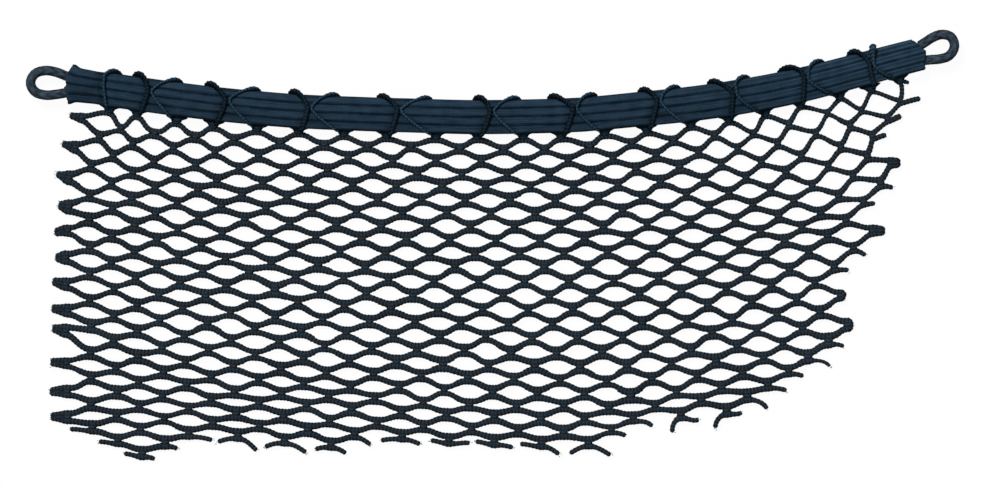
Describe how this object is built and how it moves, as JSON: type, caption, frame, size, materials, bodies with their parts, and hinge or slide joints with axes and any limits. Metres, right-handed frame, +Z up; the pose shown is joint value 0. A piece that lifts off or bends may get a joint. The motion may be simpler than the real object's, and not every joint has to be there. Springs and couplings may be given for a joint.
{
  "type": "car door mesh pocket",
  "caption": "Car door mesh pocket: a cord net with its top meshes woven over and under a ribbed elastic band, with a round cord loop at each end of the band.",
  "frame": {"origin": "bottom centre of the pocket's bounding box, on the surface it lies on", "axes": "+X to the right along the elastic band, +Y up the pocket's face towards the band, +Z up from the surface, out of the pocket's face"},
  "size_m": [0.4493, 0.2068, 0.0086],
  "materials": {
    "net_cord": "matt navy knitted polyester cord with lighter flecks",
    "band_elastic": "matt dark navy ribbed elastic webbing",
    "loop_cord": "matt dark navy braided cord"
  },
  "bodies": {
    "root": {"net": "net_cord", "band": "band_elastic", "loop_left": "loop_cord", "loop_right": "loop_cord"}
  },
  "joints": []
}
